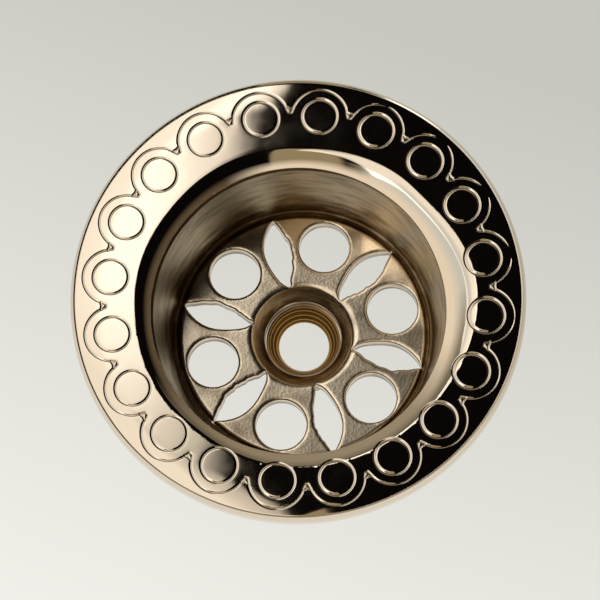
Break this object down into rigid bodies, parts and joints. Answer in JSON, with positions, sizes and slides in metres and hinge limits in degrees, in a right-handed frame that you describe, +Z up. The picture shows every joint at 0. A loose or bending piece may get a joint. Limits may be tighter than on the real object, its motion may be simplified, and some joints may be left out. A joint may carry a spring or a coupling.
{
  "type": "basin drain",
  "caption": "Basin grid drain with a ring-engraved polished flange, tapering cup, pierced grid with tapped hub, threaded outside and sliding washers under a turning ring nut.",
  "frame": {"origin": "center of the bottom rim, on the drain's axis", "axes": "+Z up through the flange, along the drain's axis; +Y toward the top of the picture"},
  "size_m": [0.0572, 0.0572, 0.0272],
  "materials": {
    "flange_metal": "polished nickel plate on cast brass",
    "cup_metal": "satin nickel plate on cast brass",
    "grid_metal": "satin nickel plate on cast brass",
    "bush_metal": "bare tapped brass",
    "seal_fibre": "tan fibre seal ring",
    "gasket_foam": "black closed-cell foam",
    "washer_rubber": "matt black rubber",
    "slip_plastic": "off-white slip washer",
    "nut_metal": "turned brass"
  },
  "bodies": {
    "body": {"flange_ring": "flange_metal", "strainer_cup": "cup_metal", "grid_plate": "grid_metal", "hub_bush": "bush_metal", "lip_seal": "seal_fibre", "flange_gasket": "gasket_foam"},
    "washer_stack": {"rubber_washer": "washer_rubber", "friction_washer": "slip_plastic"},
    "nut": {"ring_nut": "nut_metal"}
  },
  "joints": [
    {"name": "stack_slide", "type": "slide", "parent": "body", "child": "washer_stack", "axis": [0, 0, 1], "range_m": [-0.0078, 0.0022]},
    {"name": "nut_turn", "type": "hinge", "parent": "washer_stack", "child": "nut", "pos_m": [0, 0, 0.0118], "axis": [0, 0, 1], "range_deg": [-1216, 343]}
  ],
  "couplings": [
    {"joint": "stack_slide", "follows": "nut_turn", "m_per_rad": 0.00036749}
  ]
}
